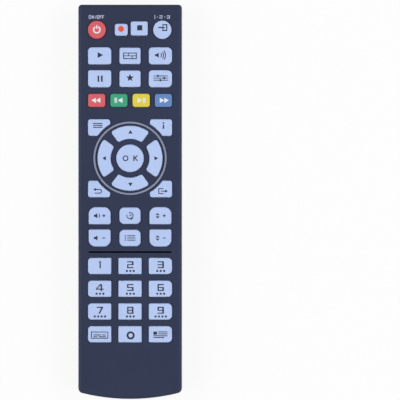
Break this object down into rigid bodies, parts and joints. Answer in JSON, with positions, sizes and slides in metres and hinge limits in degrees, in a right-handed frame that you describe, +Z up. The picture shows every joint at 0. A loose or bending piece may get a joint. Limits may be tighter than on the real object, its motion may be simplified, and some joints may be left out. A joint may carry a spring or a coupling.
{
  "type": "tv remote control",
  "caption": "Slim TV remote control: navy plastic case, pale rubber keys round a ringed direction pad, and a battery door with a sprung latch in a back with a finger scoop.",
  "frame": {"origin": "middle of the base, on the plane of the four feet that the remote rests on", "axes": "+Y along the remote towards its infrared end, +Z up out of the key face, +X to the right as seen from the keys"},
  "size_m": [0.0486, 0.1844, 0.0222],
  "materials": {
    "front_shell": "fine matt moulded texture, dark navy",
    "rear_shell": "fine matt moulded texture, navy grey",
    "pale_key": "silky pale blue silicone rubber with printed legends",
    "red_key": "silky red silicone rubber",
    "green_key": "silky green silicone rubber",
    "yellow_key": "silky yellow silicone rubber",
    "blue_key": "silky blue silicone rubber",
    "mat_rubber": "grey translucent silicone rubber",
    "ring_trim": "satin grey-blue paint",
    "board": "green solder mask",
    "carbon": "matt printed carbon",
    "steel": "zinc-plated steel",
    "nickel": "bright nickel plate",
    "chip_body": "matt black epoxy",
    "ceramic": "glazed orange ceramic",
    "capacitor_sleeve": "shrunk dark blue sleeve over an aluminium can",
    "dark_window": "smoked infrared-clear plastic",
    "diode_lens": "clear tinted epoxy",
    "cell_sleeve": "printed sleeve over a metal can"
  },
  "bodies": {
    "remote_body": {"front_case": "front_shell", "rear_case": "rear_shell", "keypad_mat": "mat_rubber", "circuit_board": "board", "contact_pads": "carbon", "ir_window": "dark_window", "ir_led": "diode_lens", "controller_chip": "chip_body", "resonator": "ceramic", "capacitor": "capacitor_sleeve", "smd_parts": "chip_body", "battery_cells": "cell_sleeve", "negative_contact": "nickel", "positive_contact": "nickel", "bridge_contact": "nickel", "nav_ring": "ring_trim", "board_screws": "steel"},
    "battery_door": {"battery_door": "rear_shell"},
    "door_latch": {"door_latch": "rear_shell"},
    "key_power": {"key_power": "red_key"},
    "key_record": {"key_record": "pale_key"},
    "key_stop": {"key_stop": "pale_key"},
    "key_source": {"key_source": "pale_key"},
    "key_play": {"key_play": "pale_key"},
    "key_guide": {"key_guide": "pale_key"},
    "key_audio": {"key_audio": "pale_key"},
    "key_pause": {"key_pause": "pale_key"},
    "key_favourite": {"key_favourite": "pale_key"},
    "key_quick_menu": {"key_quick_menu": "pale_key"},
    "key_red": {"key_red": "red_key"},
    "key_green": {"key_green": "green_key"},
    "key_yellow": {"key_yellow": "yellow_key"},
    "key_blue": {"key_blue": "blue_key"},
    "key_menu": {"key_menu": "pale_key"},
    "key_info": {"key_info": "pale_key"},
    "key_up": {"key_up": "pale_key"},
    "key_down": {"key_down": "pale_key"},
    "key_left": {"key_left": "pale_key"},
    "key_right": {"key_right": "pale_key"},
    "key_ok": {"key_ok": "pale_key"},
    "key_back": {"key_back": "pale_key"},
    "key_exit": {"key_exit": "pale_key"},
    "key_volume_up": {"key_volume_up": "pale_key"},
    "key_recall": {"key_recall": "pale_key"},
    "key_channel_up": {"key_channel_up": "pale_key"},
    "key_volume_down": {"key_volume_down": "pale_key"},
    "key_channel_list": {"key_channel_list": "pale_key"},
    "key_channel_down": {"key_channel_down": "pale_key"},
    "key_1": {"key_1": "pale_key"},
    "key_2": {"key_2": "pale_key"},
    "key_3": {"key_3": "pale_key"},
    "key_4": {"key_4": "pale_key"},
    "key_5": {"key_5": "pale_key"},
    "key_6": {"key_6": "pale_key"},
    "key_7": {"key_7": "pale_key"},
    "key_8": {"key_8": "pale_key"},
    "key_9": {"key_9": "pale_key"},
    "key_subtitle": {"key_subtitle": "pale_key"},
    "key_0": {"key_0": "pale_key"},
    "key_text": {"key_text": "pale_key"}
  },
  "joints": [
    {"name": "door_swing", "type": "hinge", "parent": "remote_body", "child": "battery_door", "pos_m": [0, -0.0763, 0.0006], "axis": [-1, 0, 0], "range_deg": [0, 60]},
    {"name": "latch_press", "type": "hinge", "parent": "battery_door", "child": "door_latch", "pos_m": [0, -0.01705, 0.0075], "axis": [-1, 0, 0], "range_deg": [0, 12], "stiffness_Nm_per_rad": 0.1},
    {"name": "key_power_press", "type": "slide", "parent": "remote_body", "child": "key_power", "axis": [0, 0, -1], "range_m": [0, 0.001], "stiffness_N_per_m": 1000, "deforming": ["keypad_mat"]},
    {"name": "key_record_press", "type": "slide", "parent": "remote_body", "child": "key_record", "axis": [0, 0, -1], "range_m": [0, 0.001], "stiffness_N_per_m": 1000, "deforming": ["keypad_mat"]},
    {"name": "key_stop_press", "type": "slide", "parent": "remote_body", "child": "key_stop", "axis": [0, 0, -1], "range_m": [0, 0.001], "stiffness_N_per_m": 1000, "deforming": ["keypad_mat"]},
    {"name": "key_source_press", "type": "slide", "parent": "remote_body", "child": "key_source", "axis": [0, 0, -1], "range_m": [0, 0.001], "stiffness_N_per_m": 1000, "deforming": ["keypad_mat"]},
    {"name": "key_play_press", "type": "slide", "parent": "remote_body", "child": "key_play", "axis": [0, 0, -1], "range_m": [0, 0.001], "stiffness_N_per_m": 1000, "deforming": ["keypad_mat"]},
    {"name": "key_guide_press", "type": "slide", "parent": "remote_body", "child": "key_guide", "axis": [0, 0, -1], "range_m": [0, 0.001], "stiffness_N_per_m": 1000, "deforming": ["keypad_mat"]},
    {"name": "key_audio_press", "type": "slide", "parent": "remote_body", "child": "key_audio", "axis": [0, 0, -1], "range_m": [0, 0.001], "stiffness_N_per_m": 1000, "deforming": ["keypad_mat"]},
    {"name": "key_pause_press", "type": "slide", "parent": "remote_body", "child": "key_pause", "axis": [0, 0, -1], "range_m": [0, 0.001], "stiffness_N_per_m": 1000, "deforming": ["keypad_mat"]},
    {"name": "key_favourite_press", "type": "slide", "parent": "remote_body", "child": "key_favourite", "axis": [0, 0, -1], "range_m": [0, 0.001], "stiffness_N_per_m": 1000, "deforming": ["keypad_mat"]},
    {"name": "key_quick_menu_press", "type": "slide", "parent": "remote_body", "child": "key_quick_menu", "axis": [0, 0, -1], "range_m": [0, 0.001], "stiffness_N_per_m": 1000, "deforming": ["keypad_mat"]},
    {"name": "key_red_press", "type": "slide", "parent": "remote_body", "child": "key_red", "axis": [0, 0, -1], "range_m": [0, 0.001], "stiffness_N_per_m": 1000, "deforming": ["keypad_mat"]},
    {"name": "key_green_press", "type": "slide", "parent": "remote_body", "child": "key_green", "axis": [0, 0, -1], "range_m": [0, 0.001], "stiffness_N_per_m": 1000, "deforming": ["keypad_mat"]},
    {"name": "key_yellow_press", "type": "slide", "parent": "remote_body", "child": "key_yellow", "axis": [0, 0, -1], "range_m": [0, 0.001], "stiffness_N_per_m": 1000, "deforming": ["keypad_mat"]},
    {"name": "key_blue_press", "type": "slide", "parent": "remote_body", "child": "key_blue", "axis": [0, 0, -1], "range_m": [0, 0.001], "stiffness_N_per_m": 1000, "deforming": ["keypad_mat"]},
    {"name": "key_menu_press", "type": "slide", "parent": "remote_body", "child": "key_menu", "axis": [0, 0, -1], "range_m": [0, 0.001], "stiffness_N_per_m": 1000, "deforming": ["keypad_mat"]},
    {"name": "key_info_press", "type": "slide", "parent": "remote_body", "child": "key_info", "axis": [0, 0, -1], "range_m": [0, 0.001], "stiffness_N_per_m": 1000, "deforming": ["keypad_mat"]},
    {"name": "key_up_press", "type": "slide", "parent": "remote_body", "child": "key_up", "axis": [0, 0, -1], "range_m": [0, 0.001], "stiffness_N_per_m": 1000, "deforming": ["keypad_mat"]},
    {"name": "key_down_press", "type": "slide", "parent": "remote_body", "child": "key_down", "axis": [0, 0, -1], "range_m": [0, 0.001], "stiffness_N_per_m": 1000, "deforming": ["keypad_mat"]},
    {"name": "key_left_press", "type": "slide", "parent": "remote_body", "child": "key_left", "axis": [0, 0, -1], "range_m": [0, 0.001], "stiffness_N_per_m": 1000, "deforming": ["keypad_mat"]},
    {"name": "key_right_press", "type": "slide", "parent": "remote_body", "child": "key_right", "axis": [0, 0, -1], "range_m": [0, 0.001], "stiffness_N_per_m": 1000, "deforming": ["keypad_mat"]},
    {"name": "key_ok_press", "type": "slide", "parent": "remote_body", "child": "key_ok", "axis": [0, 0, -1], "range_m": [0, 0.001], "stiffness_N_per_m": 1000, "deforming": ["keypad_mat"]},
    {"name": "key_back_press", "type": "slide", "parent": "remote_body", "child": "key_back", "axis": [0, 0, -1], "range_m": [0, 0.001], "stiffness_N_per_m": 1000, "deforming": ["keypad_mat"]},
    {"name": "key_exit_press", "type": "slide", "parent": "remote_body", "child": "key_exit", "axis": [0, 0, -1], "range_m": [0, 0.001], "stiffness_N_per_m": 1000, "deforming": ["keypad_mat"]},
    {"name": "key_volume_up_press", "type": "slide", "parent": "remote_body", "child": "key_volume_up", "axis": [0, 0, -1], "range_m": [0, 0.001], "stiffness_N_per_m": 1000, "deforming": ["keypad_mat"]},
    {"name": "key_recall_press", "type": "slide", "parent": "remote_body", "child": "key_recall", "axis": [0, 0, -1], "range_m": [0, 0.001], "stiffness_N_per_m": 1000, "deforming": ["keypad_mat"]},
    {"name": "key_channel_up_press", "type": "slide", "parent": "remote_body", "child": "key_channel_up", "axis": [0, 0, -1], "range_m": [0, 0.001], "stiffness_N_per_m": 1000, "deforming": ["keypad_mat"]},
    {"name": "key_volume_down_press", "type": "slide", "parent": "remote_body", "child": "key_volume_down", "axis": [0, 0, -1], "range_m": [0, 0.001], "stiffness_N_per_m": 1000, "deforming": ["keypad_mat"]},
    {"name": "key_channel_list_press", "type": "slide", "parent": "remote_body", "child": "key_channel_list", "axis": [0, 0, -1], "range_m": [0, 0.001], "stiffness_N_per_m": 1000, "deforming": ["keypad_mat"]},
    {"name": "key_channel_down_press", "type": "slide", "parent": "remote_body", "child": "key_channel_down", "axis": [0, 0, -1], "range_m": [0, 0.001], "stiffness_N_per_m": 1000, "deforming": ["keypad_mat"]},
    {"name": "key_1_press", "type": "slide", "parent": "remote_body", "child": "key_1", "axis": [0, 0, -1], "range_m": [0, 0.001], "stiffness_N_per_m": 1000, "deforming": ["keypad_mat"]},
    {"name": "key_2_press", "type": "slide", "parent": "remote_body", "child": "key_2", "axis": [0, 0, -1], "range_m": [0, 0.001], "stiffness_N_per_m": 1000, "deforming": ["keypad_mat"]},
    {"name": "key_3_press", "type": "slide", "parent": "remote_body", "child": "key_3", "axis": [0, 0, -1], "range_m": [0, 0.001], "stiffness_N_per_m": 1000, "deforming": ["keypad_mat"]},
    {"name": "key_4_press", "type": "slide", "parent": "remote_body", "child": "key_4", "axis": [0, 0, -1], "range_m": [0, 0.001], "stiffness_N_per_m": 1000, "deforming": ["keypad_mat"]},
    {"name": "key_5_press", "type": "slide", "parent": "remote_body", "child": "key_5", "axis": [0, 0, -1], "range_m": [0, 0.001], "stiffness_N_per_m": 1000, "deforming": ["keypad_mat"]},
    {"name": "key_6_press", "type": "slide", "parent": "remote_body", "child": "key_6", "axis": [0, 0, -1], "range_m": [0, 0.001], "stiffness_N_per_m": 1000, "deforming": ["keypad_mat"]},
    {"name": "key_7_press", "type": "slide", "parent": "remote_body", "child": "key_7", "axis": [0, 0, -1], "range_m": [0, 0.001], "stiffness_N_per_m": 1000, "deforming": ["keypad_mat"]},
    {"name": "key_8_press", "type": "slide", "parent": "remote_body", "child": "key_8", "axis": [0, 0, -1], "range_m": [0, 0.001], "stiffness_N_per_m": 1000, "deforming": ["keypad_mat"]},
    {"name": "key_9_press", "type": "slide", "parent": "remote_body", "child": "key_9", "axis": [0, 0, -1], "range_m": [0, 0.001], "stiffness_N_per_m": 1000, "deforming": ["keypad_mat"]},
    {"name": "key_subtitle_press", "type": "slide", "parent": "remote_body", "child": "key_subtitle", "axis": [0, 0, -1], "range_m": [0, 0.001], "stiffness_N_per_m": 1000, "deforming": ["keypad_mat"]},
    {"name": "key_0_press", "type": "slide", "parent": "remote_body", "child": "key_0", "axis": [0, 0, -1], "range_m": [0, 0.001], "stiffness_N_per_m": 1000, "deforming": ["keypad_mat"]},
    {"name": "key_text_press", "type": "slide", "parent": "remote_body", "child": "key_text", "axis": [0, 0, -1], "range_m": [0, 0.001], "stiffness_N_per_m": 1000, "deforming": ["keypad_mat"]}
  ]
}
